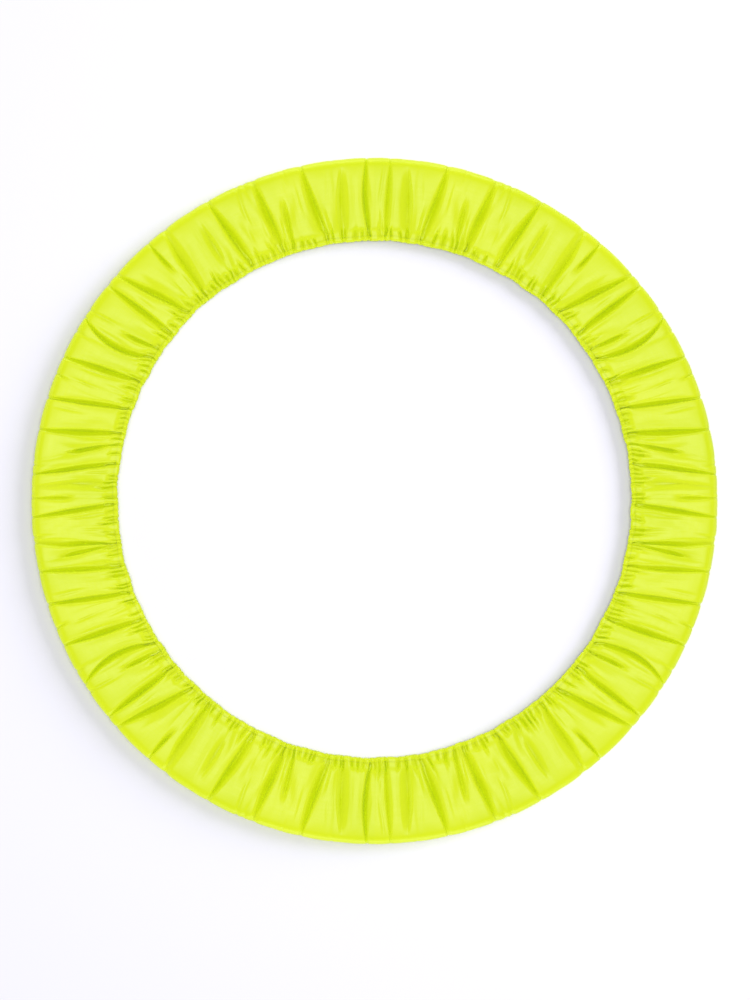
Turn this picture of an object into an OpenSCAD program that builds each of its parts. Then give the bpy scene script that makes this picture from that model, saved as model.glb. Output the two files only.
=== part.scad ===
// A rhythmic gymnastics hoop inside its gathered ring cover, lying flat.
// The ring's axis is +Z, the cover's back face rests on z = 0, and the origin is the ring's
// centre on that face. The cover's two cross seams lie on the Y axis, one at each end.

/* [Hoop] */
// Outside diameter of the hoop
hoop_d = 900; // [750:10:900]
// Outside diameter of the hoop's tube
tube_d = 18; // [16:1:20]
// Wall thickness of the tube
tube_wall = 2; // [1.5:0.5:3]
// Gap between the tube's two butted ends
butt_gap = 0.5; // [0.2:0.1:1]
// Direction of the butt joint, in degrees from +X
joint_a = 25; // [0:5:355]
// Length of the plug inside the butt joint
plug_len = 70; // [60:5:120]
// Diameter of the pins that hold the plug
pin_d = 3; // [2:0.5:4]
// Distance of each pin from the butt joint
pin_offset = 18; // [10:1:24]
// Length of the tape round the butt joint, along the tube
tape_len = 60; // [50:5:100]
// Thickness of the tape
tape_t = 0.25; // [0.1:0.05:0.25]

/* [Cover] */
// Width of the covered band, from the rim to the gathered inner edge
band_w = 113; // [90:1:130]
// Modelled thickness of the cloth
cloth_t = 0.6; // [0.5:0.1:0.8]
// Clearance between the tube and the cloth
cloth_gap = 0.9; // [0.9:0.1:1.5]
// Depth of the flat ring that the cover rests on
rest_cut = 0.25; // [0.1:0.05:0.25]

/* [Hems] */
// Width of each elastic
elastic_w = 4; // [3:1:8]
// Thickness of each elastic
elastic_t = 0.6; // [0.4:0.1:0.8]
// Length over which an elastic's ends overlap
overlap_len = 15; // [10:1:25]
// Direction of the front elastic's join, in degrees from +X
front_join_a = 250; // [0:5:350]
// Direction of the back elastic's join, in degrees from +X
back_join_a = 290; // [0:5:350]
// Gap between the front hem and the back hem
hem_gap = 1; // [0.8:0.1:4]
// Thickness of the sewing thread
thread_d = 0.3; // [0.2:0.05:0.3]

/* [Hidden] */
$fn = 96;

// The hoop: the tube's centreline runs at ring_r, and its height is mid_z.
tube_r = tube_d / 2;
bore_r = tube_r - tube_wall;
ring_r = hoop_d / 2 - tube_r;
fit_gap = 0.1;
tape_gap = 0.02;
pin_inset = 0.3;
pin_end_gap = 1;
hole_lead = 1;

// The cover's section: a round rim, then two straight flanks that close towards the hems.
rim_in = tube_r + cloth_gap;
rim_out = rim_in + cloth_t;
mid_z = rim_out - rest_cut;
edge_r = ring_r + rim_out - band_w;

// The flanks lie this far under the rim's tangents, so that they cross it cleanly.
tuck = 0.002;

// Each hem is folded round a channel that has room for the elastic's two layers.
slack = 0.1;
side_gap = 0.5;
channel_t = 2 * elastic_t + 3 * slack;
channel_w = elastic_w + 2 * side_gap;
hem_t = channel_t + 2 * cloth_t;
sewn_w = 1.4;
hem_w = cloth_t + channel_w + sewn_w;
hem_half = hem_t + hem_gap / 2;

// The flank's outer line touches the rim's circle and ends at the hem's outer corner.
corner_dist = norm([ring_r - edge_r, hem_half]);
flank_len = sqrt(corner_dist * corner_dist - rim_out * rim_out);
flank_a = asin(rim_out / corner_dist) - atan(hem_half / (ring_r - edge_r));

// The elastic's two layers, and the stitches across its overlap.
layer_y = [rim_out - cloth_t - slack - elastic_t,
           rim_out - cloth_t - 2 * slack - 2 * elastic_t];
elastic_x = -flank_len + cloth_t + side_gap;
step_len = 2;
slit_len = 0.5;
step_a = arc_a(step_len, edge_r);
slit_a = arc_a(slit_len, edge_r);
overlap_a = arc_a(overlap_len, edge_r);
tack_inset = 0.5;
tack_w = elastic_w - 2 * tack_inset;
tack_l = 0.5;
tack_count = 3;
seam_thread_w = 0.5;

cloth_colour = [0.88, 0.95, 0.25];
thread_colour = [0.74, 0.82, 0.16];
elastic_colour = "white";
tube_colour = [0.93, 0.93, 0.91];
plug_colour = [0.55, 0.56, 0.58];
pin_colour = "silver";
tape_colour = [0.2, 0.2, 0.22];

// The angle that an arc of the given length takes at the given radius.
function arc_a(len, r) = len / r * 180 / PI;

// Turns a flat section into a stretch of the ring, from one direction to another.
module sweep(from_a, to_a) {
  rotate_extrude(angle = to_a - from_a, start = from_a, $fn = 360) children();
}

// A section placed on the tube's centreline.
module at_tube() {
  translate([ring_r, mid_z]) children();
}

// A point of a flank, from the tube's centreline: x is less than 0 and runs inward along the
// flank as it falls, and y is the distance out from the centreline. Side 1 is the front and
// side -1 is the back.
function flank_point(x, y, side) = [x * cos(flank_a) - (y - tuck) * sin(flank_a),
                                    side * (x * sin(flank_a) + (y - tuck) * cos(flank_a))];

// The frame in which a flank is straight, for what lies along it.
module at_flank(side) {
  at_tube() mirror([0, side > 0 ? 0 : 1]) rotate(flank_a) translate([0, -tuck]) children();
}

// The sleeve's outline at a distance r from the tube's centreline: a round rim whose tangents
// close in along the flanks as far as x_end.
module sleeve_outline(r, x_end) {
  at_tube() {
    circle(r);
    polygon([flank_point(0, r, 1), flank_point(x_end, r, 1),
             flank_point(x_end, r, -1), flank_point(0, r, -1)]);
  }
}

// An even layer of the sleeve from r_in to r_out, open towards the ring's centre at x_end.
module sleeve_layer(r_in, r_out, x_end) {
  difference() {
    sleeve_outline(r_out, x_end);
    sleeve_outline(r_in, x_end - hem_t);
  }
}

// A strip's edge that is folded round: square at the outer side and round at the inner edge.
module fold_end(w, t) {
  translate([t / 2, t / 2]) circle(t / 2);
  translate([t / 2, 0]) square([w - t / 2, t]);
}

// A hem's outline: the cloth folded back on itself and sewn down.
module hem_outline() {
  translate([-flank_len, rim_out - hem_t]) fold_end(hem_w, hem_t);
}

// What a hem leaves free: the elastic's channel and the grooves that the stitching pulls in.
module hem_cuts() {
  translate([-flank_len + cloth_t, rim_out - hem_t + cloth_t]) fold_end(channel_w, channel_t);
  hem_thread_section();
}

// The two lines of a hem's lockstitch: one on the outer face and one on the fold.
module hem_thread_section() {
  x = -flank_len + hem_w - sewn_w / 2 - thread_d / 2;
  translate([x, rim_out - thread_d]) square(thread_d);
  translate([x, rim_out - hem_t]) square(thread_d);
}

// The whole C-shaped section of the sleeve, open between the two hems.
module cloth_section() {
  difference() {
    union() {
      sleeve_layer(rim_in, rim_out, -flank_len + hem_t / 2);
      at_flank(1) hem_outline();
      at_flank(-1) hem_outline();
    }
    at_flank(1) hem_cuts();
    at_flank(-1) hem_cuts();
    translate([0, -rim_out]) square([hoop_d, rim_out]);
  }
}

// The thread of a cross seam, which lies on the inside of the sleeve from hem to hem.
module seam_thread_section() {
  sleeve_layer(rim_in - thread_d, rim_in, -flank_len + hem_w);
}

module elastic_layer(y, t) {
  translate([elastic_x, y]) square([elastic_w, t]);
}

// The stitches that hold an elastic's overlapped ends, spread evenly along the overlap.
module tack_stitches(side, join_a) {
  for (i = [1 : tack_count]) {
    mid_a = join_a + overlap_a * i / (tack_count + 1);
    half_a = arc_a(tack_l, edge_r) / 2;
    sweep(mid_a - half_a, mid_a + half_a) at_flank(side)
      translate([elastic_x + tack_inset, layer_y[1]])
        square([tack_w, 2 * elastic_t + slack]);
  }
}

// One elastic: a band once round the hem, whose end steps up and lies on its start.
module elastic(side, join_a) {
  difference() {
    union() {
      sweep(join_a + slit_a, join_a + 360 - step_a / 2) at_flank(side)
        elastic_layer(layer_y[0], elastic_t);
      sweep(join_a - step_a, join_a) at_flank(side)
        elastic_layer(layer_y[1], 2 * elastic_t + slack);
      sweep(join_a - step_a / 2, join_a + overlap_a) at_flank(side)
        elastic_layer(layer_y[1], elastic_t);
    }
    tack_stitches(side, join_a);
  }
}

// A straight pin through the tube's inner wall and the plug, pointing at the ring's axis.
module radial_pin(a, d) {
  rotate(a) translate([ring_r - tube_r + pin_inset, 0, mid_z]) rotate([0, 90, 0])
    cylinder(d = d, h = tube_r + bore_r - pin_inset - pin_end_gap);
}

// Places a child once on each side of the butt joint.
module at_pins() {
  for (side = [-1, 1]) {
    rotate(joint_a + side * arc_a(pin_offset, ring_r)) children();
  }
}

module hoop_tube() {
  half_gap_a = arc_a(butt_gap, ring_r) / 2;
  color(tube_colour) difference() {
    sweep(joint_a + half_gap_a, joint_a + 360 - half_gap_a) at_tube() difference() {
      circle(tube_r);
      circle(bore_r);
    }
    at_pins() translate([ring_r - tube_r - hole_lead, 0, mid_z]) rotate([0, 90, 0])
      cylinder(d = pin_d + 2 * fit_gap, h = tube_r);
  }
}

module joint_plug() {
  half_a = arc_a(plug_len, ring_r) / 2;
  color(plug_colour) difference() {
    sweep(joint_a - half_a, joint_a + half_a) at_tube() circle(bore_r - fit_gap);
    at_pins() radial_pin(0, pin_d + 2 * fit_gap);
  }
}

module joint_pins() {
  color(pin_colour) at_pins() radial_pin(0, pin_d);
}

module joint_tape() {
  half_a = arc_a(tape_len, ring_r) / 2;
  color(tape_colour) sweep(joint_a - half_a, joint_a + half_a) at_tube() difference() {
    circle(tube_r + tape_gap + tape_t);
    circle(tube_r + tape_gap);
  }
}

module left_strip() {
  color(cloth_colour) sweep(90, 270) cloth_section();
}

module right_strip() {
  color(cloth_colour) sweep(-90, 90) cloth_section();
}

module seam_thread(a) {
  color(thread_colour) rotate(a) rotate([90, 0, 0])
    linear_extrude(seam_thread_w, center = true) seam_thread_section();
}

module top_seam_thread() {
  seam_thread(90);
}

module bottom_seam_thread() {
  seam_thread(270);
}

module hem_thread(side) {
  color(thread_colour) sweep(0, 360) at_flank(side) hem_thread_section();
}

module front_elastic() {
  color(elastic_colour) elastic(1, front_join_a);
}

module front_elastic_tack() {
  color(thread_colour) tack_stitches(1, front_join_a);
}

module front_hem_thread() {
  hem_thread(1);
}

module back_elastic() {
  color(elastic_colour) elastic(-1, back_join_a);
}

module back_elastic_tack() {
  color(thread_colour) tack_stitches(-1, back_join_a);
}

module back_hem_thread() {
  hem_thread(-1);
}

hoop_tube();
joint_plug();
joint_pins();
joint_tape();
left_strip();
right_strip();
top_seam_thread();
bottom_seam_thread();
front_elastic();
front_elastic_tack();
front_hem_thread();
back_elastic();
back_elastic_tack();
back_hem_thread();
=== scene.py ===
"""A rhythmic gymnastics hoop in its gathered ring cover, lying on a pale floor.

The cover is one sleeve of two strips of thin fluorescent nylon. It is built as a grid, folded by a
list of folds and by uneven gathers along its two elastic hems, then settled by a small cloth
solver that draws the cloth back towards its lengths, lets it shear and bend, and holds it off the
hoop. The solver doesn't stop the cloth from passing through itself.
"""

import math

import bpy
import numpy as np
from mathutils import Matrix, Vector


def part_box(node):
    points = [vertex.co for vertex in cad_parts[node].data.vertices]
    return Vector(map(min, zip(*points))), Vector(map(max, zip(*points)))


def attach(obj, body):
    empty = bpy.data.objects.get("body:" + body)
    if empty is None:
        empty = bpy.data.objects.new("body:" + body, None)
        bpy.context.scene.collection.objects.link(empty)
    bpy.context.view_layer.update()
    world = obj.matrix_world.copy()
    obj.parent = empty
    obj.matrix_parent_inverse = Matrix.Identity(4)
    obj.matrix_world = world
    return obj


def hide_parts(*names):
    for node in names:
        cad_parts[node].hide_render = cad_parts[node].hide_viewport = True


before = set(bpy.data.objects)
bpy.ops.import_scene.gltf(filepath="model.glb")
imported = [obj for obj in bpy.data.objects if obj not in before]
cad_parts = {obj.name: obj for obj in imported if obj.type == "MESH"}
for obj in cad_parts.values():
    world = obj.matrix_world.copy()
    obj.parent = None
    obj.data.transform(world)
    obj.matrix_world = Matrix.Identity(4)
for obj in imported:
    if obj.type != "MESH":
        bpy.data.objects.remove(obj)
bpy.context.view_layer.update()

# ---------------------------------------------------------------- sizes, from the frame

tube_low, tube_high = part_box("hoop_tube")
elastic_low, elastic_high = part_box("front_elastic")
thread_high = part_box("front_hem_thread")[1]

# The elastic's half width and thickness, and how far in the stitches lie from their CAD thread's edge.
ELASTIC_HALF_W, ELASTIC_HALF_T = 0.002, 0.0003
STITCH_INSET = 0.0004

TUBE_R = (tube_high.z - tube_low.z) / 2
RING_R = tube_high.x - TUBE_R
MID_Z = (tube_high.z + tube_low.z) / 2
STITCH_R = thread_high.x - STITCH_INSET
ELASTIC_RISE = (elastic_high.z + elastic_low.z) / 2 - MID_Z
ELASTIC_R = elastic_high.x - ELASTIC_HALF_W

# The cloth as it was cut, over both strips, and how far it lies from the tube's centreline, from the
# floor and from the sleeve's other layer.
FLAT_LENGTH = 2.96
HEM_FOLD = 0.018
PLAY = 0.0009
WRAP_R = TUBE_R + PLAY
STITCH_RISE = 0.0016
FLOOR_GAP = 0.0006
LAYER_GAP = 0.0006

# The grid: columns go round the ring from the bottom seam, and rows go from the front hem round
# the rim to the back hem. A fold keeps the same columns in every row: WALL of them down each side.
# HEM_ZONE is the width of the finely gridded band at a hem, and ROW_GAPS the distance between rows in
# each band from the front hem to the back one.
COLUMNS = 3040
WALL = 8
HEM_ZONE = 0.015
ROW_GAPS = (0.0016, 0.0050, 0.0025, 0.0034, 0.0100, 0.0024)
SETTLE_STEPS, QUICK_STEPS = 24, 8
SEED = 7

# ---------------------------------------------------------------- camera

CAMERA_LENS = 85
CAMERA_SENSOR = 36
VIEW_HEIGHT = 1.3185
CAMERA_X, CAMERA_Y = 0.0007, 0.0013


def make_camera():
    """Straight above the ring, with +Y up in the picture."""
    data = bpy.data.cameras.new("camera")
    data.lens = CAMERA_LENS
    data.sensor_width = CAMERA_SENSOR
    camera = bpy.data.objects.new("camera", data)
    distance = VIEW_HEIGHT / 2 * CAMERA_LENS / (CAMERA_SENSOR / 2)
    camera.location = (CAMERA_X, CAMERA_Y, MID_Z + distance)
    bpy.context.scene.collection.objects.link(camera)
    bpy.context.scene.camera = camera


# ---------------------------------------------------------------- folds of the cover

# Each fold is a valley from the rim to the hem: its angle from the horizontal axis at the rim,
# halfway and at the hem, in degrees; its depth; its width, which is negative where the steeper side
# is at the smaller angle; and the shares of the way from rim to hem at which it starts and ends. The
# angles were read off the photo, unwrapped round the ring, and then adjusted by comparison.
UPPER_SIDE_FOLDS = [
    (0.4, 0.4, 0.4, 0.6, 1.0, 0.0, 0.5),
    (2.2, 3.0, 3.8, 0.3, 1.5, 0.0, 0.9),
    (4.5, 6.3, 8.4, 0.9, -0.9, 0.0, 1.0),
    (6.6, 9.4, 12.4, 0.9, 0.8, 0.4, 0.9),
    (12.0, 13.0, 14.7, 1.0, 1.2, 0.0, 1.0),
]
LOWER_SIDE_FOLDS = [
    (2.8, 2.0, 0.9, 0.9, -0.9, 0.0, 1.0),
    (6.9, 8.0, 9.2, 0.8, 1.8, 0.0, 1.0),
    (10.2, 9.8, 9.4, 0.6, 0.8, 0.3, 0.9),
    (11.8, 12.9, 14.2, 0.8, 1.1, 0.0, 1.0),
]
LEFT_END_FOLDS = [(88.8, 88.3, 89.2, 0.9, -0.9, 0.0, 1.0)]
RIGHT_END_FOLDS = [(87.2, 87.3, 87.5, 0.5, 0.9, 0.0, 1.0)]
COMMON_FOLDS = [
    (17.6, 19.0, 20.7, 0.9, -0.9, 0.0, 1.0),
    (21.8, 21.3, 22.0, 0.9, 0.9, 0.0, 0.15),
    (24.8, 25.7, 26.6, 1.0, 1.1, 0.0, 1.0),
    (32.4, 30.8, 33.0, 1.0, -1.0, 0.0, 1.0),
    (33.0, 33.6, 34.8, 0.8, 0.8, 0.5, 1.0),
    (38.9, 39.1, 39.3, 1.0, 1.1, 0.0, 1.0),
    (41.3, 43.4, 45.9, 1.0, -1.2, 0.0, 1.0),
    (48.6, 48.7, 48.9, 0.9, 0.9, 0.0, 0.45),
    (52.2, 51.6, 50.9, 0.8, -1.9, 0.0, 1.0),
    (57.6, 57.6, 57.4, 0.4, 1.3, 0.2, 0.8),
    (60.9, 61.9, 62.7, 1.0, -1.3, 0.0, 1.0),
    (68.9, 69.4, 69.9, 1.0, 1.3, 0.0, 1.0),
    (72.9, 72.7, 72.0, 0.5, 1.0, 0.35, 1.0),
    (77.4, 78.2, 79.7, 1.0, 1.3, 0.0, 1.0),
    (84.6, 84.0, 83.4, 0.6, -1.7, 0.1, 1.0),
]
# Faint creases and broader hollows in each quarter: how many, and for each one the range of its
# depth in metres, its width in degrees, its start and length as shares of the way from rim to hem,
# and how far it leans and bends, in degrees.
FAINT_CREASES, HOLLOWS = 46, 18
FAINT_DEPTH, HOLLOW_DEPTH = (0.0004, 0.0013), (0.0007, 0.0019)
FAINT_WIDTH, HOLLOW_WIDTH = (0.5, 1.3), (2.2, 5.5)
FAINT_START, HOLLOW_START = (-0.2, 0.75), (0.1, 0.65)
FAINT_LENGTH, HOLLOW_LENGTH = (0.25, 0.6), (0.3, 0.6)
FAINT_LEAN, HOLLOW_LEAN = 2.5, 7
FAINT_BEND, HOLLOW_BEND = 0.3, 0.8

# A fold's widest width in degrees; its share of that at the rim, what it gains and by where; and
# what it loses towards the hem, from where and over how much of the way.
FOLD_WIDTH = 1.75
WIDTH_AT_RIM, WIDTH_GAIN, WIDEST_AT = 0.45, 0.55, 0.55
HEM_LOSS, HEM_LOSS_FROM, HEM_LOSS_OVER = 0.3, 0.8, 0.2
# The share of the way over which a fold that starts or ends short of it fades, how far its bottom
# lies towards its steeper side, how much of its wall is rounded over, and the most of the gap to
# the next fold that its half may fill.
FOLD_FADE = 0.12
LEAN = 0.3
WALL_ROUNDING = 0.3
MOST_OF_GAP = 0.47
# On the back: how far a fold may wander, as a share of the space between folds, and its depth.
BACK_WANDER = 0.35
BACK_DEPTH = (0.5, 1.0)
# The least width of a panel between folds in degrees, and the columns at which it bulges in full.
LEAST_PANEL = 0.5
PANEL_COLUMNS = 26


def around(angle, right, upper):
    """A quarter's angle from the horizontal axis as an angle round the whole ring."""
    turned = angle if right else 180 - angle
    return turned % 360 if upper else -turned % 360


def quarters():
    """The four quarters, as (right, upper)."""
    return [(right, upper) for upper in (True, False) for right in (True, False)]


def mirrored(fold, right, upper):
    """A quarter's fold at its place round the whole ring."""
    rim, mid, hem, depth, width, start, end = fold
    width = width if right == upper else -width
    return (*(around(a, right, upper) for a in (rim, mid, hem)), depth, width, start, end)


def all_folds(rng):
    """The folds in their order round the ring from the bottom seam, one row each. The front is the
    same quarter four times over, mirrored left to right and top to bottom, but for the folds
    beside the two axes. Each fold runs on over the rim and wanders down the back."""
    folds = []
    for right, upper in quarters():
        own = UPPER_SIDE_FOLDS if upper else LOWER_SIDE_FOLDS
        own = own + (RIGHT_END_FOLDS if right else LEFT_END_FOLDS) + COMMON_FOLDS
        folds += [mirrored(fold, right, upper) for fold in own]
    folds = np.array(folds)
    folds[:, :3] = (folds[:, :3] + 90) % 360 - 90
    folds = folds[np.argsort(folds[:, 1])]
    rims = folds[:, 0]
    space = np.diff(np.concatenate([rims[-1:] - 360, rims]))
    backs = rims + BACK_WANDER * space * rng.uniform(-1, 1, (2, len(rims)))
    return np.column_stack([folds, backs.T, rng.uniform(*BACK_DEPTH, len(rims))])


def faint_creases(rng):
    """Short shallow creases and broader hollows, the same in each quarter but mirrored."""
    creases = []
    for _ in range(FAINT_CREASES):
        rim = rng.uniform(0, 90)
        hem = rim + rng.uniform(-FAINT_LEAN, FAINT_LEAN)
        start = rng.uniform(*FAINT_START)
        end = start + rng.uniform(*FAINT_LENGTH)
        creases.append((rim, (rim + hem) / 2 + rng.uniform(-FAINT_BEND, FAINT_BEND), hem,
                        rng.uniform(*FAINT_DEPTH), rng.uniform(*FAINT_WIDTH),
                        max(0.0, start), min(1.0, end)))
    for _ in range(HOLLOWS):
        rim = rng.uniform(0, 90)
        hem = rim + rng.uniform(-HOLLOW_LEAN, HOLLOW_LEAN)
        start = rng.uniform(*HOLLOW_START)
        creases.append((rim, (rim + hem) / 2 + rng.uniform(-HOLLOW_BEND, HOLLOW_BEND), hem,
                        rng.uniform(*HOLLOW_DEPTH), rng.uniform(*HOLLOW_WIDTH),
                        start, min(1.0, start + rng.uniform(*HOLLOW_LENGTH))))
    return [mirrored(crease, *q) for q in quarters() for crease in creases]


def ease(share):
    """A smooth step from 0 to 1."""
    share = np.clip(share, 0, 1)
    return share ** 2 * (3 - 2 * share)


def fold_width(share):
    """A fold's width along its way: narrow at the rim, widest past halfway, less at the hem."""
    widened = WIDTH_AT_RIM + WIDTH_GAIN * ease(share / WIDEST_AT)
    return FOLD_WIDTH * widened * (1 - HEM_LOSS * ease((share - HEM_LOSS_FROM) / HEM_LOSS_OVER))


def path(rim, mid, hem, share):
    """The angle of a fold at a share of the way from rim to hem."""
    return (rim * (1 - share) * (1 - 2 * share) + 4 * mid * share * (1 - share)
            + hem * share * (2 * share - 1))


def fade_between(share, start, end):
    """1 between two shares of the way, falling to 0 past each unless it is an end of the way."""
    rise = np.where(start == 0, 1, (share - start) / FOLD_FADE)
    fall = np.where(end == 1, 1, (end - share) / FOLD_FADE)
    return np.clip(rise, 0, 1) * np.clip(fall, 0, 1)


def fold_state(folds, share, front):
    """Each fold's centre and half-width in degrees, and its depth, at a share of the way."""
    rim, mid, hem, depth, width, start, end, back_mid, back_hem, back_depth = folds.T
    faded = depth * fade_between(share, start, end)
    if front:
        centre = path(rim, mid, hem, share)
    else:
        centre = path(rim, back_mid, back_hem, share)
        faded = depth * (start == 0) * (1 - share) + back_depth * share
    ends = np.concatenate([[-90], centre[centre < 90], [90], centre[centre >= 90], [270]])
    gaps = np.diff(ends)
    gaps = np.delete(np.minimum(gaps[:-1], gaps[1:]), (centre < 90).sum())
    return centre, np.minimum(0.5 * fold_width(share) * abs(width), MOST_OF_GAP * gaps), faded


def plan_columns(folds):
    """Shares the columns out among the folds and the panels between them. Gives the columns of the
    knots (the three seam places, then every fold's start, bottom and end), how far down a fold's
    side each column lies, its fold, and how far it stands out with its panel."""
    firsts = []
    for half in (0, 1):
        own = folds[(folds[:, 1] >= 90) == bool(half)]
        low = -90 + 180 * half
        ends = np.concatenate([[low], own[:, :3].mean(axis=1), [low + 180]])
        widths = np.concatenate([[0], 0.5 * FOLD_WIDTH * abs(own[:, 4]), [0]])
        panels = np.maximum(LEAST_PANEL, np.diff(ends) - widths[:-1] - widths[1:])
        free = COLUMNS // 2 - 2 * WALL * len(own)
        before = np.round(np.cumsum(panels) / panels.sum() * free)[:-1]
        firsts.append(half * COLUMNS // 2 + before + 2 * WALL * np.arange(len(own)))
    first = np.concatenate(firsts).astype(int)
    column = np.arange(COLUMNS)
    fold = np.clip(np.searchsorted(first, column, side="right") - 1, 0, None)
    inward = np.clip(1 - abs(column - first[fold] - WALL) / WALL, 0, 1)
    down = np.where(inward < WALL_ROUNDING, inward ** 2 / (2 * WALL_ROUNDING),
                    inward - WALL_ROUNDING / 2)
    down /= 1 - WALL_ROUNDING / 2
    start = first + 2 * WALL
    length = np.append(first[1:], first[0] + COLUMNS) - start
    bulge = np.zeros(COLUMNS)
    for a, count in zip(start, length):
        across = np.sin(math.pi * (np.arange(count) + 0.5) / count)
        bulge[(a + np.arange(count)) % COLUMNS] = across * min(1, count / PANEL_COLUMNS)
    knots = np.concatenate([[0, COLUMNS // 2, COLUMNS], first, first + WALL, first + 2 * WALL])
    return knots, down, fold, bulge


def column_angles(plan, centre, half, lean):
    """The angle of each column in a row, with every fold at its own columns."""
    knots = plan[0]
    angles = np.concatenate([[-90, 90, 270], centre - half, centre + LEAN * lean * half,
                             centre + half])
    order = np.argsort(knots)
    return np.radians(np.interp(np.arange(COLUMNS), knots[order], angles[order]))


def sunk(share, creases, angle):
    """How far the faint creases sink the cloth at these angles, in metres."""
    depth = np.zeros(len(angle))
    place = np.degrees(angle)
    for rim, mid, hem, most, width, start, end in creases:
        fade = float(fade_between(share, start, end))
        if fade == 0:
            continue
        centre = path(rim, rim + (mid - rim + 180) % 360 - 180, rim + (hem - rim + 180) % 360 - 180,
                      share)
        away = abs((place - centre + 180) % 360 - 180) / (0.5 * abs(width))
        depth += most * fade * ease(1 - away)
    return depth


# ---------------------------------------------------------------- the sleeve's even shape

FLANK_SPAN = math.hypot(RING_R - STITCH_R, STITCH_RISE)
FLANK_TILT = math.asin(WRAP_R / FLANK_SPAN) - math.atan(STITCH_RISE / (RING_R - STITCH_R))
FLANK = math.sqrt(FLANK_SPAN ** 2 - WRAP_R ** 2)
RIM_ARC = WRAP_R * (math.pi + 2 * FLANK_TILT)
SLEEVE = 2 * FLANK + RIM_ARC
# How far the folds run from the hem: up the flank and a little over the tube.
FOLD_WAY = FLANK + 0.3 * RIM_ARC


def row_places():
    """Each row's distance along the cloth from the front stitch row."""
    flank, rim = FLANK - HEM_ZONE, RIM_ARC / 2
    ends = np.cumsum([0, HEM_ZONE, flank, rim, rim, flank, HEM_ZONE])
    rows = [np.linspace(a, b, round((b - a) / gap), endpoint=False)
            for a, b, gap in zip(ends, ends[1:], ROW_GAPS)]
    return np.append(np.concatenate(rows), SLEEVE)


def sleeve_point(place):
    """Radius and height of the even sleeve at a distance along the cloth, and its normal."""
    side = 1 if place <= SLEEVE / 2 else -1
    from_hem = place if side > 0 else SLEEVE - place
    sin, cos = math.sin(FLANK_TILT), math.cos(FLANK_TILT)
    if from_hem < FLANK:
        inward = FLANK - from_hem
        out, up = -inward * cos - WRAP_R * sin, -inward * sin + WRAP_R * cos
        normal = (-sin, cos)
    else:
        turn = math.pi / 2 + FLANK_TILT - (from_hem - FLANK) / WRAP_R
        normal = (math.cos(turn), math.sin(turn))
        out, up = WRAP_R * normal[0], WRAP_R * normal[1]
    return RING_R + out, MID_Z + side * up, normal[0], side * normal[1]


# ---------------------------------------------------------------- gathers

# The most that a fold sinks; the least height that is left between a layer and the sleeve's middle;
# how far the panels rise on the flank, on the tube and more at its top; how far they bulge; what the
# folds and the bulges lose at the tube; and the length over which the flank passes on to the tube.
FOLD_AMOUNT = 0.0085
LEAST_RISE = 0.0012
FLANK_LIFT, TUBE_LIFT, TUBE_TOP_LIFT = 0.0038, 0.0008, 0.0024
PANEL_BULGE = 0.0011
FOLD_LOSS, BULGE_LOSS = 0.6, 0.6
TUBE_BLEND = 0.012
HALVINGS = 16

# Creases beside the stitches of a hem: their distance apart and half-width, their depth as a share
# of the cloth's rise there, and how far from the stitches they reach. Between them the cloth rises
# from TUFT_AT_STITCH of its height at the stitches to all of it at TUFT_CREST. A crease is whole for
# CREASE_WHOLE of its reach and fades over CREASE_FADE of it. DEEP_CREASE is the one at each fold. The
# columns wander sideways by up to CREASE_WANDER near a hem.
CREASE_PITCH = (0.0042, 0.0146)
CREASE_HALF = (0.0018, 0.0042)
CREASE_SHARE = (0.5, 1.0)
CREASE_REACH = (0.007, 0.024)
DEEP_CREASE = (0.0017, 0.9, 0.016)
TUFT_HEIGHT = 0.0040
TUFT_AT_STITCH = 0.8
TUFT_CREST = 0.0030
CREASE_WHOLE, CREASE_FADE = 0.4, 0.6
CREASE_WANDER = 0.0018
WANDER_KNOTS, WANDER_REACH = 240, 0.016


def hem_creases(rng, angle, bottoms):
    """A hem's creases: columns, half-widths, depths and reaches, with a long one at each fold."""
    widths = rng.uniform(*CREASE_PITCH, round(4 * math.pi * STITCH_R / sum(CREASE_PITCH)))
    turns = np.cumsum(widths) * 2 * math.pi / widths.sum() - math.pi / 2
    count = len(widths)
    creases = np.column_stack([np.searchsorted(angle, turns) % COLUMNS,
                               rng.uniform(*CREASE_HALF, count), rng.uniform(*CREASE_SHARE, count),
                               rng.uniform(*CREASE_REACH, count)])
    deep = np.column_stack([bottoms, np.tile(DEEP_CREASE, (len(bottoms), 1))])
    return np.concatenate([creases, deep])


def creased(creases, angle, from_hem):
    """What the creases leave of the cloth's rise in each column, from 0 to 1, where the columns
    lie at these angles along the hem."""
    left = np.ones(COLUMNS)
    for at, half, depth, reach in creases:
        deep = depth * (1 - ease((from_hem / reach - CREASE_WHOLE) / CREASE_FADE))
        if deep == 0:
            continue
        away = (angle - angle[int(at)] + math.pi) % (2 * math.pi) - math.pi
        left *= 1 - deep * np.clip(1 - abs(away) * STITCH_R / half, 0, 1)
    return left


# The hems stand a little further out across the top, and a little more at WAIST_AT degrees above the
# sides. They ripple, and the shift fades out over HEM_SHIFT_FADE from the stitches.
HEM_SHIFT = 0.0046
WAIST_AT, WAIST_WIDTH, WAIST_SHARE = 47, 9, 0.25
HEM_RIPPLE = 0.00045
HEM_SHIFT_FADE = 0.028


def hem_shift(angle):
    """How far outward of its circle the hem lies at an angle."""
    upper = np.clip(np.sin(angle), 0, 1)
    waist = np.exp(-((np.degrees(np.arcsin(upper)) - WAIST_AT) / WAIST_WIDTH) ** 2)
    slow = np.sin(31 * angle + 2 * np.sin(7 * angle))
    quick = np.sin(53 * angle + 1 + 3 * np.sin(5 * angle))
    return HEM_SHIFT * upper + WAIST_SHARE * HEM_SHIFT * waist + HEM_RIPPLE * (slow + quick)


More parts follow.
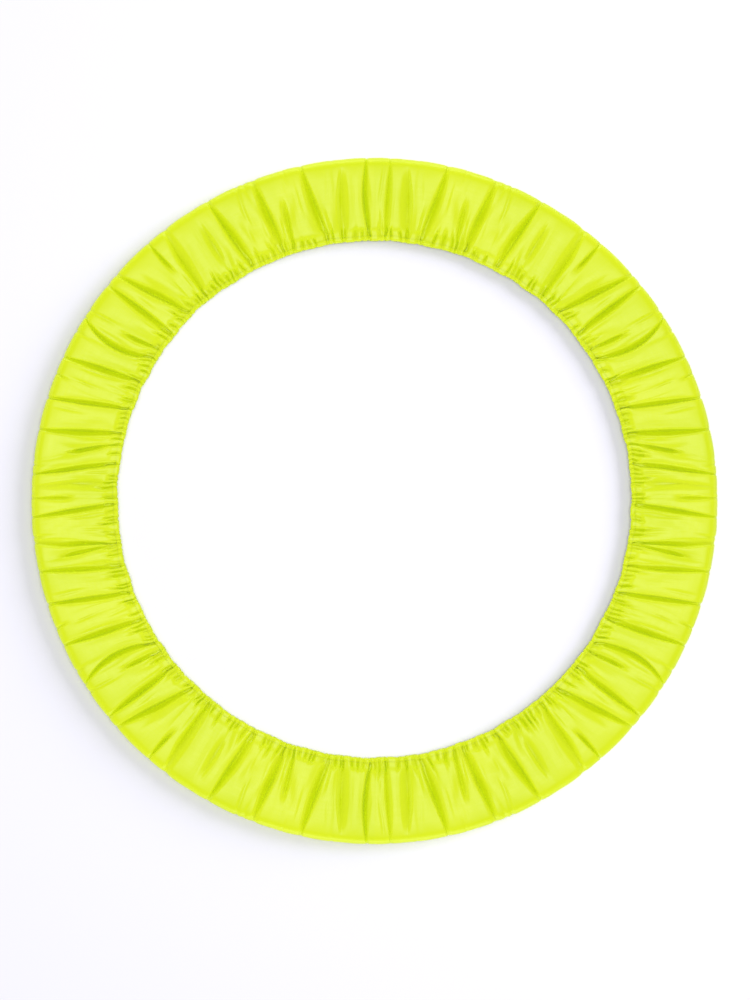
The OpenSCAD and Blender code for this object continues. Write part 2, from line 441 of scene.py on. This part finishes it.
def row_length(place, angle, push):
    """The length of a row round the ring."""
    radius, height, out, up = sleeve_point(place)
    r, z = radius + out * push, height + up * push
    row = np.stack([r * np.cos(angle), r * np.sin(angle), z], 1)
    return np.linalg.norm(row - np.roll(row, 1, axis=0), axis=1).sum()


def fitted(place, angle, pushed, most):
    """The fold depth at which a row is as long as the cloth, or the most where that is too little."""
    low, high = 0.0, most
    for _ in range(HALVINGS):
        depth = (low + high) / 2
        if row_length(place, angle, pushed(depth)) < FLAT_LENGTH:
            low = depth
        else:
            high = depth
    return low


def slow_noise(rng, knots):
    """Smooth noise from 0 to 1 once round the columns."""
    values = rng.uniform(0, 1, knots)
    at = np.arange(COLUMNS) * knots / COLUMNS
    i = at.astype(int)
    t = (1 - np.cos(math.pi * (at - i))) / 2
    return values[i] * (1 - t) + values[(i + 1) % knots] * t


def folded_sleeve(rng):
    """The sleeve with its folds and its hems' creases set in, as the solver's first guess, the
    columns along the bottoms of the folds, and those along each hem's creases with what the
    creases leave at its stitches."""
    folds = all_folds(rng)
    plan = plan_columns(folds)
    knots, down, fold, bulge = plan
    bottoms = knots[3 + len(folds):3 + 2 * len(folds)]
    faint = faint_creases(rng)
    lean = np.sign(folds[:, 4])
    hem_angle, creases = {}, {}
    for side in (1, -1):
        centre, half, _ = fold_state(folds, 1, side > 0)
        hem_angle[side] = column_angles(plan, centre, half, lean)
        creases[side] = hem_creases(rng, hem_angle[side], bottoms)
    wander = {side: CREASE_WANDER * (2 * slow_noise(rng, WANDER_KNOTS) - 1) for side in (1, -1)}
    rows = []
    for place in row_places():
        side = 1 if place <= SLEEVE / 2 else -1
        from_hem = min(place, SLEEVE - place)
        share = min(1, max(0, 1 - from_hem / FOLD_WAY))
        radius, height, out, up = sleeve_point(place)
        centre, half, depth = fold_state(folds, share, side > 0)
        angle = column_angles(plan, centre, half, lean)
        on_tube = ease((from_hem - FLANK + TUBE_BLEND) / TUBE_BLEND)
        at_stitch = TUFT_AT_STITCH + (1 - TUFT_AT_STITCH) * ease(from_hem / TUFT_CREST)
        inward = ease(from_hem / HEM_ZONE)
        lift = TUFT_HEIGHT * at_stitch * (1 - inward) + FLANK_LIFT * inward
        lift = lift * (1 - on_tube) + (TUBE_LIFT + TUBE_TOP_LIFT * abs(up)) * on_tube
        room = max(0, abs(height - MID_Z) - LEAST_RISE) * (1 - on_tube)
        left = creased(creases[side], hem_angle[side], from_hem)
        deep = 1 - FOLD_LOSS * on_tube * (1 - abs(up))
        panel = (PANEL_BULGE * inward * (1 - BULGE_LOSS * on_tube) * bulge
                 - sunk(share, faint, angle))

        def pushed(amount):
            sink = amount * depth[fold] * down * deep
            return (min(lift, amount) + panel + room) * left - room - sink

        amount = fitted(place, angle, pushed, min(FOLD_AMOUNT, lift + room))
        push = pushed(amount)
        angle = angle + wander[side] / radius * math.sin(math.pi * min(1, from_hem / WANDER_REACH))
        shift = hem_shift(angle) * math.exp(-(from_hem / HEM_SHIFT_FADE) ** 2)
        r = radius + shift + out * push
        rows.append(np.stack([r * np.cos(angle), r * np.sin(angle), height + up * push], 1))
    hems = {side: (creases[side][:, 0].astype(int), creased(creases[side], hem_angle[side], 0))
            for side in (1, -1)}
    return np.array(rows, np.float32), bottoms, hems


# ---------------------------------------------------------------- the cloth solver

# How firmly the cloth keeps its diagonals, and how much it is drawn straight across and along.
SHEAR = 0.2
BEND_ACROSS, BEND_ALONG = 0.015, 0.06


def links(cloth):
    """Pairs of the cloth's points that keep their distance, with that distance and how firmly."""
    pairs = [(cloth[:, 0::2], cloth[:, 1::2], 1.0), (cloth[:, 1:-1:2], cloth[:, 2::2], 1.0),
             (cloth[:, -1], cloth[:, 0], 1.0)]
    for start in (0, 1):
        upper, lower = cloth[start:-1:2], cloth[start + 1::2]
        pairs += [(upper, lower, 1.0), (upper[:, :-1], lower[:, 1:], SHEAR),
                  (upper[:, 1:], lower[:, :-1], SHEAR)]
    return [(a, b, np.linalg.norm(b - a, axis=-1), firmly) for a, b, firmly in pairs]


def pull(a, b, rest, firmly):
    """Moves two sets of points towards their distance at rest."""
    gap = b - a
    length = np.sqrt(np.einsum("...i,...i->...", gap, gap)) + 1e-9
    gap *= (firmly * 0.5 * (1 - rest / length))[..., None]
    a += gap
    b -= gap


def bend(cloth, gaps):
    """Draws each point a little towards the line between its neighbours, more along a column than
    across the folds."""
    inner = cloth[1:-1]
    sides = (np.roll(inner, 1, axis=1) + np.roll(inner, -1, axis=1)) / 2
    share = (gaps[:-1] / (gaps[:-1] + gaps[1:]))[:, None, None].astype(np.float32)
    ends = cloth[:-2] * (1 - share) + cloth[2:] * share
    inner += BEND_ACROSS * (sides - inner) + BEND_ALONG * (ends - inner)


def keep_clear(cloth):
    """Holds the cloth off the hoop, above the floor, and its two layers apart."""
    radius = np.hypot(cloth[..., 0], cloth[..., 1])
    out, up = radius - RING_R, cloth[..., 2] - MID_Z
    distance = np.hypot(out, up) + 1e-9
    push = np.maximum(0, WRAP_R - distance) / distance
    cloth[..., :2] *= (1 + out * push / radius)[..., None]
    cloth[..., 2] += up * push
    np.maximum(cloth[..., 2], FLOOR_GAP, out=cloth[..., 2])
    half = len(cloth) // 2
    inside = radius < RING_R
    front, back = cloth[:half, :, 2], cloth[half + 1:, :, 2]
    front[inside[:half]] = np.maximum(front[inside[:half]], MID_Z + LAYER_GAP)
    back[inside[half + 1:]] = np.minimum(back[inside[half + 1:]], MID_Z - LAYER_GAP)


def row_gaps(cloth):
    """The cloth between each row and the next."""
    return np.linalg.norm(np.diff(cloth, axis=0), axis=2).mean(axis=1)


def settle(cloth, steps):
    """Runs the solver with the two stitch rows held where they are, as if by their elastics."""
    gaps, pairs = row_gaps(cloth), links(cloth)
    front_hem, back_hem = cloth[0].copy(), cloth[-1].copy()
    for _ in range(steps):
        for pair in pairs:
            pull(*pair)
        bend(cloth, gaps)
        keep_clear(cloth)
        cloth[0], cloth[-1] = front_hem, back_hem
    return cloth


# ---------------------------------------------------------------- meshes

def normals(grid):
    """Unit normals of a closed ring of cloth, pointing out of the sleeve."""
    along = np.roll(grid, -1, axis=1) - np.roll(grid, 1, axis=1)
    across = np.gradient(grid, axis=0)
    n = np.cross(across, along)
    n /= np.linalg.norm(n, axis=2)[..., None] + 1e-12
    return n if n[len(n) // 4, :, 2].mean() > 0 else -n


# A hem's roll over the elastic: its steps, its half width and height, how far round it turns, how
# much it puckers, and how square its section is in width and height.
ROLL_STEPS = 7
ROLL_HALF_W, ROLL_HALF_H = 0.00225, 0.00055
ROLL_TURN = math.radians(330)
PUCKER_W, PUCKER_H = 0.0012, 0.0024
SQUARE_W, SQUARE_H = 0.6, 0.7


def hem_roll(stitch_row, side, left):
    """Rows that turn from a stitch row over the elastic, round the inner edge and back under, and
    pucker by what the creases leave."""
    angle = np.arctan2(stitch_row[:, 1], stitch_row[:, 0])
    middle = ELASTIC_R + hem_shift(angle)
    wide, high = ROLL_HALF_W + PUCKER_W * left, ROLL_HALF_H + PUCKER_H * left
    rows = []
    for k in range(1, ROLL_STEPS + 1):
        turn = ROLL_TURN * k / ROLL_STEPS
        c, s = math.cos(turn), math.sin(turn)
        r = middle + (wide if c < 0 else ROLL_HALF_W) * math.copysign(abs(c) ** SQUARE_W, c)
        z = ELASTIC_RISE + (high if s > 0 else ROLL_HALF_H) * math.copysign(abs(s) ** SQUARE_H, s)
        tilt = math.tan(FLANK_TILT) * (r - middle)
        rows.append(np.stack([r * np.cos(angle), r * np.sin(angle), MID_Z + side * (z + tilt)], 1))
    return np.array(rows)


# The elastic's ribs, with the height of their valleys and their rise as shares of its thickness, and
# its overlap at the join, with the steps over which an end slopes and the gap left between the ends.
ELASTIC_RIBS = 5
RIB_VALLEY, RIB_RISE = 0.75, 0.25
ELASTIC_STEPS = 720
OVERLAP_HALF, OVERLAP_STEPS, OVERLAP_GAP = 0.0075, 16, 0.00005


def elastic_band(name, side, join):
    """A ribbed elastic once round a hem, its ends laid one over the other at the join."""
    turns = np.linspace(0, 1, ELASTIC_STEPS + 1)
    half = OVERLAP_HALF / ELASTIC_R
    angle = join - half + turns * (2 * math.pi + 2 * half)
    layer = (ease(1 - turns * ELASTIC_STEPS / OVERLAP_STEPS)
             - ease(1 - (1 - turns) * ELASTIC_STEPS / OVERLAP_STEPS))
    lift = -layer * (ELASTIC_HALF_T + OVERLAP_GAP)
    across = np.linspace(-1, 1, 4 * ELASTIC_RIBS + 1)
    waves = np.abs(np.sin(across * math.pi * ELASTIC_RIBS / 2))
    ribs = ELASTIC_HALF_T * (RIB_VALLEY + RIB_RISE * waves)
    outline = np.concatenate([np.stack([across, ribs], 1), np.stack([across, -ribs], 1)[::-1]])
    rings = []
    for a, up in zip(angle, lift):
        r = ELASTIC_R + hem_shift(a) + ELASTIC_HALF_W * outline[:, 0]
        z = ELASTIC_RISE + up + outline[:, 1] + math.tan(FLANK_TILT) * ELASTIC_HALF_W * outline[:, 0]
        rings.append(np.stack([r * np.cos(a), r * np.sin(a), MID_Z + side * z], 1))
    rings = np.array(rings)
    count = len(outline)
    closed = np.concatenate([rings, rings[:, :1]], 1)
    faces = [[f // (count + 1) * count + f % (count + 1) % count for f in face]
             for face in grid_faces(len(closed), count + 1)]
    faces.append(list(range(count)))
    faces.append([len(rings) * count - 1 - k for k in range(count)])
    return mesh_piece(name, rings.reshape(-1, 3), faces)


def whole_cloth(cloth, places, hems):
    """The sleeve with its two hem rolls, and each row's place along the flat cloth."""
    front, back = hem_roll(cloth[0], 1, hems[1][1]), hem_roll(cloth[-1], -1, hems[-1][1])
    roll_places = np.arange(1, ROLL_STEPS + 1) * HEM_FOLD / ROLL_STEPS
    rows = np.concatenate([front[::-1], cloth, back])
    flat = np.concatenate([-roll_places[::-1], places, places[-1] + roll_places])
    return rows, flat


def mesh_piece(name, points, faces, uvs=None, smooth=True):
    """An object with this mesh, linked to the scene."""
    mesh = bpy.data.meshes.new(name)
    mesh.from_pydata([tuple(p) for p in points], [], faces)
    if uvs is not None:
        layer = mesh.uv_layers.new(name="flat")
        corners = np.zeros(len(mesh.loops), np.int32)
        mesh.loops.foreach_get("vertex_index", corners)
        layer.data.foreach_set("uv", uvs[corners].astype(np.float32).ravel())
    mesh.polygons.foreach_set("use_smooth", [smooth] * len(mesh.polygons))
    mesh.update()
    piece = bpy.data.objects.new(name, mesh)
    bpy.context.scene.collection.objects.link(piece)
    return piece


def grid_faces(rows, columns):
    """Quads of an open grid."""
    index = np.arange(rows * columns).reshape(rows, columns)
    quads = np.stack([index[:-1, :-1], index[:-1, 1:], index[1:, 1:], index[1:, :-1]], -1)
    return quads.reshape(-1, 4).tolist()


def sharpen(mesh, count, columns, rows):
    """Marks the edges that run along these columns of a grid as sharp, between two rows."""
    ends = np.zeros(len(mesh.edges) * 2, np.int32)
    mesh.edges.foreach_get("vertices", ends)
    ends = ends.reshape(-1, 2)
    row, column = ends // count, ends % count
    sharp = (column[:, 0] == column[:, 1]) & np.isin(column[:, 0], columns)
    sharp &= (row.min(axis=1) >= rows[0]) & (row.max(axis=1) <= rows[1])
    marks = (mesh.attributes.get("sharp_edge")
             or mesh.attributes.new("sharp_edge", "BOOLEAN", "EDGE"))
    already = np.zeros(len(mesh.edges), bool)
    marks.data.foreach_get("value", already)
    marks.data.foreach_set("value", sharp | already)


# A seam allowance: how many columns of it are modelled, and how far inside the sleeve it lies.
ALLOWANCE = 8
ALLOWANCE_DEPTH = 0.00035


def strip_piece(name, grid, flat, out, first, bottoms, hems):
    """Half of the cover as one strip of cloth, from one cross seam to the other, with its seam
    allowances turned back inside."""
    half = COLUMNS // 2
    columns = (first + np.arange(half + 1)) % COLUMNS
    places = np.arange(half + 1) * FLAT_LENGTH / COLUMNS
    body = grid[:, columns]
    turned = grid - ALLOWANCE_DEPTH * out
    start = turned[:, columns[ALLOWANCE:0:-1]]
    end = turned[:, columns[-2:-2 - ALLOWANCE:-1]]
    points = np.concatenate([start, body, end], 1)
    step = FLAT_LENGTH / COLUMNS
    u = np.concatenate([-np.arange(ALLOWANCE, 0, -1) * step, places,
                        places[-1] + np.arange(1, ALLOWANCE + 1) * step])
    rows, count = points.shape[:2]
    uv = np.stack(np.meshgrid(u, flat, indexing="xy"), -1).reshape(-1, 2)
    piece = mesh_piece(name, points.reshape(-1, 3), grid_faces(rows, count), uv)
    sharpen(piece.data, count, (ALLOWANCE, count - 1 - ALLOWANCE), (0, rows))
    sharpen(piece.data, count, bottoms - first + ALLOWANCE, (ROLL_STEPS, rows))
    for side, gap in ((1, ROW_GAPS[0]), (-1, ROW_GAPS[-1])):
        near = ROLL_STEPS + round(HEM_ZONE / gap)
        span = (0, near) if side > 0 else (rows - near, rows)
        sharpen(piece.data, count, hems[side][0] - first + ALLOWANCE, span)
    return piece


STITCH_PITCH, STITCH_LENGTH, THREAD_R = 0.0030, 0.0021, 0.00018
# A stitch's points and sides, its radius at its ends and how far they sink, as shares of its radius,
# how far a hem's stitches lie outside the cloth, and how far a cross seam's lie inside it.
STITCH_POINTS, STITCH_SIDES = 4, 5
STITCH_END, STITCH_SINK = 0.55, 0.4
STITCH_LIFT, SEAM_DEPTH = 0.0002, 0.00045


def tube_stitch(points):
    """A short thread through these points, closed at both ends."""
    sides = STITCH_SIDES
    verts, faces = [], []
    ends = len(points) - 1
    for i, p in enumerate(points):
        ahead = points[min(i + 1, ends)] - points[max(i - 1, 0)]
        ahead = ahead / (np.linalg.norm(ahead) + 1e-12)
        across = np.cross(ahead, (0, 0, 1))
        across /= np.linalg.norm(across) + 1e-12
        up = np.cross(across, ahead)
        r = THREAD_R * (STITCH_END if i in (0, ends) else 1)
        for k in range(sides):
            a = 2 * math.pi * k / sides
            verts.append(p + r * (math.cos(a) * across + math.sin(a) * up))
        if i:
            base = (i - 1) * sides
            faces += [[base + k, base + (k + 1) % sides, base + sides + (k + 1) % sides,
                       base + sides + k] for k in range(sides)]
    faces.append(list(range(sides))[::-1])
    faces.append(list(range(ends * sides, (ends + 1) * sides)))
    return verts, faces


def stitch_line(name, line, closed):
    """A row of stitches along a line of points: one short thread for each."""
    points = np.concatenate([line, line[:1]]) if closed else line
    along = np.concatenate([[0], np.cumsum(np.linalg.norm(np.diff(points, axis=0), axis=1))])
    count = int(along[-1] / STITCH_PITCH)
    pitch = along[-1] / count
    verts, faces = [], []
    for i in range(count):
        at = (i + np.linspace(0, STITCH_LENGTH / STITCH_PITCH, STITCH_POINTS)) * pitch
        thread = np.stack([np.interp(at, along, points[:, k]) for k in range(3)], 1)
        thread[[0, -1], 2] -= STITCH_SINK * THREAD_R
        v, f = tube_stitch(thread)
        faces += [[j + len(verts) for j in face] for face in f]
        verts += v
    return mesh_piece(name, verts, faces)


def seam_line(cloth, column):
    """The line inside the sleeve that a cross seam's stitches follow."""
    out = normals(cloth.astype(float))
    return cloth[:, column] - SEAM_DEPTH * out[:, column]


# ---------------------------------------------------------------- materials

RAMP_FROM, RAMP_TO = 0.3, 0.7


def new_material(name, color, roughness, **sockets):
    """A Principled material with constants set straight on its shader."""
    material = bpy.data.materials.new(name)
    material.use_nodes = True
    shader = material.node_tree.nodes["Principled BSDF"]
    shader.inputs["Base Color"].default_value = (*color, 1)
    shader.inputs["Roughness"].default_value = roughness
    for socket, value in sockets.items():
        shader.inputs[socket.replace("_", " ")].default_value = value
    return material, material.node_tree, shader


def node(tree, kind, inputs=None, **settings):
    """A new node with its settings and unlinked inputs."""
    made = tree.nodes.new(kind)
    for key, value in settings.items():
        setattr(made, key, value)
    for key, value in (inputs or {}).items():
        made.inputs[key].default_value = value
    return made


def coordinates(tree):
    """The piece's own coordinates in metres, as an output socket."""
    return node(tree, "ShaderNodeTexCoord").outputs["Object"]


def scaled(tree, vector, scale):
    """Coordinates at another scale along each axis, as an output socket."""
    mapping = node(tree, "ShaderNodeMapping", {"Scale": scale})
    tree.links.new(vector, mapping.inputs["Vector"])
    return mapping.outputs["Vector"]


def noise(tree, vector, scale, detail=3.0):
    """Noise from 0 to 1 over these coordinates, as an output socket."""
    made = node(tree, "ShaderNodeTexNoise", {"Scale": scale, "Detail": detail})
    tree.links.new(vector, made.inputs["Vector"])
    return made.outputs["Fac"]


def ramp(tree, value, low, high):
    """Maps a value to a colour between two colours."""
    made = node(tree, "ShaderNodeValToRGB")
    made.color_ramp.elements[0].position = RAMP_FROM
    made.color_ramp.elements[0].color = (*low, 1)
    made.color_ramp.elements[1].position = RAMP_TO
    made.color_ramp.elements[1].color = (*high, 1)
    tree.links.new(value, made.inputs["Fac"])
    return made.outputs["Color"]


def spread(tree, value, low, high):
    """Maps a value from 0 to 1 on to a range."""
    made = node(tree, "ShaderNodeMapRange", {"To Min": low, "To Max": high})
    tree.links.new(value, made.inputs["Value"])
    return made.outputs["Result"]


def bump(tree, shader, height, distance, strength):
    """Roughens a shader's surface by a height."""
    made = node(tree, "ShaderNodeBump", {"Distance": distance, "Strength": strength})
    tree.links.new(height, made.inputs["Height"])
    tree.links.new(made.outputs["Normal"], shader.inputs["Normal"])


def weave(tree, vector, pitch):
    """Height of a plain weave over coordinates in metres. One wave is 2 pi times the pitch."""
    heights = []
    for direction in ("X", "Y"):
        wave = node(tree, "ShaderNodeTexWave", {"Scale": 1 / pitch / 20, "Distortion": 0.4,
                                                "Detail": 1.0, "Detail Scale": 3.0},
                    wave_type="BANDS", bands_direction=direction)
        tree.links.new(vector, wave.inputs["Vector"])
        heights.append(wave.outputs["Fac"])
    both = node(tree, "ShaderNodeMath", operation="MULTIPLY")
    tree.links.new(heights[0], both.inputs[0])
    tree.links.new(heights[1], both.inputs[1])
    return both.outputs["Value"]


def cloth_material():
    """Fluorescent yellow-green nylon taffeta: smooth, a little shiny, finely woven."""
    material, tree, shader = new_material(
        "neon_nylon", (0.67, 0.80, 0.004), 0.42, Sheen_Weight=0.08, Sheen_Roughness=0.4,
        Specular_IOR_Level=0.30)
    flat = node(tree, "ShaderNodeUVMap", uv_map="flat").outputs["UV"]
    cloudy = noise(tree, flat, 9.0, 4.0)
    tree.links.new(ramp(tree, cloudy, (0.65, 0.785, 0.003), (0.70, 0.815, 0.006)),
                   shader.inputs["Base Color"])
    streaks = noise(tree, scaled(tree, flat, (40, 400, 1)), 1.0, 2.0)
    tree.links.new(spread(tree, streaks, 0.30, 0.46), shader.inputs["Roughness"])
    crinkle = noise(tree, scaled(tree, flat, (150, 26, 1)), 1.0, 3.0)
    rough = node(tree, "ShaderNodeBump", {"Distance": 0.0007, "Strength": 0.5})
    fine = node(tree, "ShaderNodeBump", {"Distance": 0.00004, "Strength": 0.5})
    tree.links.new(crinkle, rough.inputs["Height"])
    tree.links.new(weave(tree, flat, 0.0004), fine.inputs["Height"])
    tree.links.new(rough.outputs["Normal"], fine.inputs["Normal"])
    tree.links.new(fine.outputs["Normal"], shader.inputs["Normal"])
    return material


def thread_material():
    """Twisted polyester thread, a shade darker than the cloth."""
    material, tree, shader = new_material("neon_thread", (0.55, 0.68, 0.02), 0.5,
                                          Sheen_Weight=0.3)
    place = coordinates(tree)
    tree.links.new(ramp(tree, noise(tree, place, 900), (0.50, 0.62, 0.02), (0.64, 0.76, 0.04)),
                   shader.inputs["Base Color"])
    bump(tree, shader, noise(tree, place, 3000), 0.00003, 0.6)
    return material


def elastic_material():
    """White braided elastic."""
    material, tree, shader = new_material("white_elastic", (0.8, 0.8, 0.76), 0.7,
                                          Sheen_Weight=0.2)
    place = coordinates(tree)
    tree.links.new(ramp(tree, noise(tree, place, 400), (0.74, 0.74, 0.70), (0.86, 0.86, 0.83)),
                   shader.inputs["Base Color"])
    bump(tree, shader, noise(tree, place, 1500), 0.0001, 0.7)
    return material


def plastic_material(name, low, high, roughness, grain, coat=0.0):
    """Extruded or moulded plastic with slight mottling and fine draw marks."""
    material, tree, shader = new_material(name, low, sum(roughness) / 2, Coat_Weight=coat,
                                          Coat_Roughness=0.15)
    place = coordinates(tree)
    tree.links.new(ramp(tree, noise(tree, place, 60), low, high), shader.inputs["Base Color"])
    tree.links.new(spread(tree, noise(tree, place, 160), *roughness), shader.inputs["Roughness"])
    bump(tree, shader, noise(tree, place, 900), grain, 0.5)
    return material


def steel_material():
    """Plain steel with drawing marks."""
    material, tree, shader = new_material("steel", (0.6, 0.6, 0.6), 0.3, Metallic=1.0)
    place = coordinates(tree)
    tree.links.new(ramp(tree, noise(tree, place, 700), (0.54, 0.54, 0.54), (0.68, 0.68, 0.67)),
                   shader.inputs["Base Color"])
    tree.links.new(spread(tree, noise(tree, place, 1200), 0.22, 0.42),
                   shader.inputs["Roughness"])
    bump(tree, shader, noise(tree, place, 2500), 0.00002, 0.4)
    return material


def give(piece, material):
    """Puts one material on a piece."""
    if piece.data.materials:
        for i in range(len(piece.data.materials)):
            piece.data.materials[i] = material
    else:
        piece.data.materials.append(material)


# ---------------------------------------------------------------- the scene

FLOOR_HALF = 6


def make_floor():
    """A plain pale floor."""
    low, high = -FLOOR_HALF, FLOOR_HALF
    corners = [(low, low, 0), (high, low, 0), (high, high, 0), (low, high, 0)]
    floor = mesh_piece("floor", corners, [[0, 1, 2, 3]], smooth=False)
    material = new_material("pale_floor", (0.805, 0.795, 0.86), 0.9, Specular_IOR_Level=0.1)[0]
    give(floor, material)
    return floor


def area_light(name, place, width, depth, power):
    """A soft box that points at the ring's centre."""
    data = bpy.data.lights.new(name, "AREA")
    data.shape = "RECTANGLE"
    data.size = width
    data.size_y = depth
    data.energy = power
    lamp = bpy.data.objects.new(name, data)
    lamp.location = place
    lamp.rotation_mode = "QUATERNION"
    lamp.rotation_quaternion = (-Vector(place)).to_track_quat("-Z", "Y")
    bpy.context.scene.collection.objects.link(lamp)
    return lamp


def light_only(lamp, pieces):
    """Makes a lamp light these pieces and nothing else."""
    lit = bpy.data.collections.new(f"lit_by_{lamp.name}")
    for piece in pieces:
        lit.objects.link(piece)
    lamp.light_linking.receiver_collection = lit


WORLD_STRENGTH = 0.45
# Each kind of lamp: where it stands, its width and depth in metres, and its power in watts.
OVERHEAD_PLACE, OVERHEAD_SIZE, OVERHEAD_POWER = (0, 0.001, 4.2), (2.4, 1.0), 87
KEY_AZIMUTH, KEY_HEIGHT, KEY_DISTANCE = math.radians(22), math.radians(26), 8.0
KEY_SIZE, KEY_POWER = (5.2, 5.2), 655
RIM_HEIGHT, RIM_DISTANCE = math.radians(12), 3.5
RIM_SIZE, RIM_POWER = (3.6, 1.2), (20, 48)


def lamp_place(azimuth, height, distance):
    """A place at this distance from the ring's centre, in these two directions."""
    level = distance * math.cos(height)
    return (level * math.cos(azimuth), level * math.sin(azimuth), distance * math.sin(height))


def make_lights(floor, cover):
    """A white studio: a long soft box overhead, one from the right that lights the floor only, so
    that the ring throws a shadow to the left while its folds stay evenly lit, and four low
    ones all round for the cover's rim."""
    world = bpy.data.worlds.new("studio")
    world.use_nodes = True
    background = world.node_tree.nodes["Background"]
    background.inputs["Color"].default_value = (0.93, 0.94, 1, 1)
    background.inputs["Strength"].default_value = WORLD_STRENGTH
    bpy.context.scene.world = world
    area_light("overhead", OVERHEAD_PLACE, *OVERHEAD_SIZE, OVERHEAD_POWER)
    place = lamp_place(KEY_AZIMUTH, KEY_HEIGHT, KEY_DISTANCE)
    light_only(area_light("key", place, *KEY_SIZE, KEY_POWER), [floor])
    for k in range(4):
        place = lamp_place(math.pi / 2 * k, RIM_HEIGHT, RIM_DISTANCE)
        light_only(area_light(f"rim_{k}", place, *RIM_SIZE, RIM_POWER[k % 2]), cover)
    bpy.context.scene.view_settings.view_transform = "Standard"


def place_piece(piece, material, cad_node):
    """Gives a piece of the cover its material and its body, and hides the CAD node that it stands for.
    """
    give(piece, material)
    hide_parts(cad_node)
    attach(piece, "cover")


def main():
    """Builds the camera, the cover, the hoop's looks, the floor and the lights."""
    make_camera()
    rng = np.random.default_rng(SEED)
    cloth, bottoms, hems = folded_sleeve(rng)
    places = np.concatenate([[0], np.cumsum(row_gaps(cloth))])
    cloth = settle(cloth, SETTLE_STEPS)
    grid, flat = whole_cloth(cloth.astype(float), places, hems)
    out = normals(grid)
    nylon, thread = cloth_material(), thread_material()
    top = COLUMNS // 2
    strips = {"right_cloth": ("right_strip", 0), "left_cloth": ("left_strip", top)}
    cover = []
    for name, (cad_node, first) in strips.items():
        piece = strip_piece(name, grid, flat, out, first, bottoms, hems)
        place_piece(piece, nylon, cad_node)
        cover.append(piece)
    elastic = elastic_material()
    for name, side in (("front", 1), ("back", -1)):
        low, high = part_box(f"{name}_elastic_tack")
        centre = (low + high) / 2
        piece = elastic_band(f"{name}_elastic_band", side, math.atan2(centre.y, centre.x))
        place_piece(piece, elastic, f"{name}_elastic")
    lift = np.array([0, 0, STITCH_LIFT])
    lines = {
        "front_hem_stitches": ("front_hem_thread", cloth[0] + lift, True),
        "back_hem_stitches": ("back_hem_thread", cloth[-1] - lift, True),
        "top_seam_stitches": ("top_seam_thread", seam_line(cloth, top), False),
        "bottom_seam_stitches": ("bottom_seam_thread", seam_line(cloth, 0), False),
    }
    for name, (cad_node, line, closed) in lines.items():
        piece = stitch_line(name, np.array(line, float), closed)
        place_piece(piece, thread, cad_node)
    dress_cad_nodes(thread)
    make_lights(make_floor(), cover)


def dress_cad_nodes(thread):
    """Puts each shown CAD node in its material."""
    white = plastic_material("white_plastic", (0.82, 0.82, 0.80), (0.88, 0.88, 0.86),
                             (0.28, 0.38), 0.00003, coat=0.2)
    grey = plastic_material("grey_plastic", (0.24, 0.25, 0.27), (0.30, 0.31, 0.33),
                            (0.45, 0.6), 0.00004)
    tape = plastic_material("dark_tape", (0.03, 0.03, 0.035), (0.045, 0.045, 0.05),
                            (0.35, 0.5), 0.00005)
    finishes = {
        "hoop_tube": white, "joint_plug": grey, "joint_tape": tape,
        "joint_pins": steel_material(), "front_elastic_tack": thread,
        "back_elastic_tack": thread,
    }
    for name, material in finishes.items():
        give(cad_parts[name], material)


main()
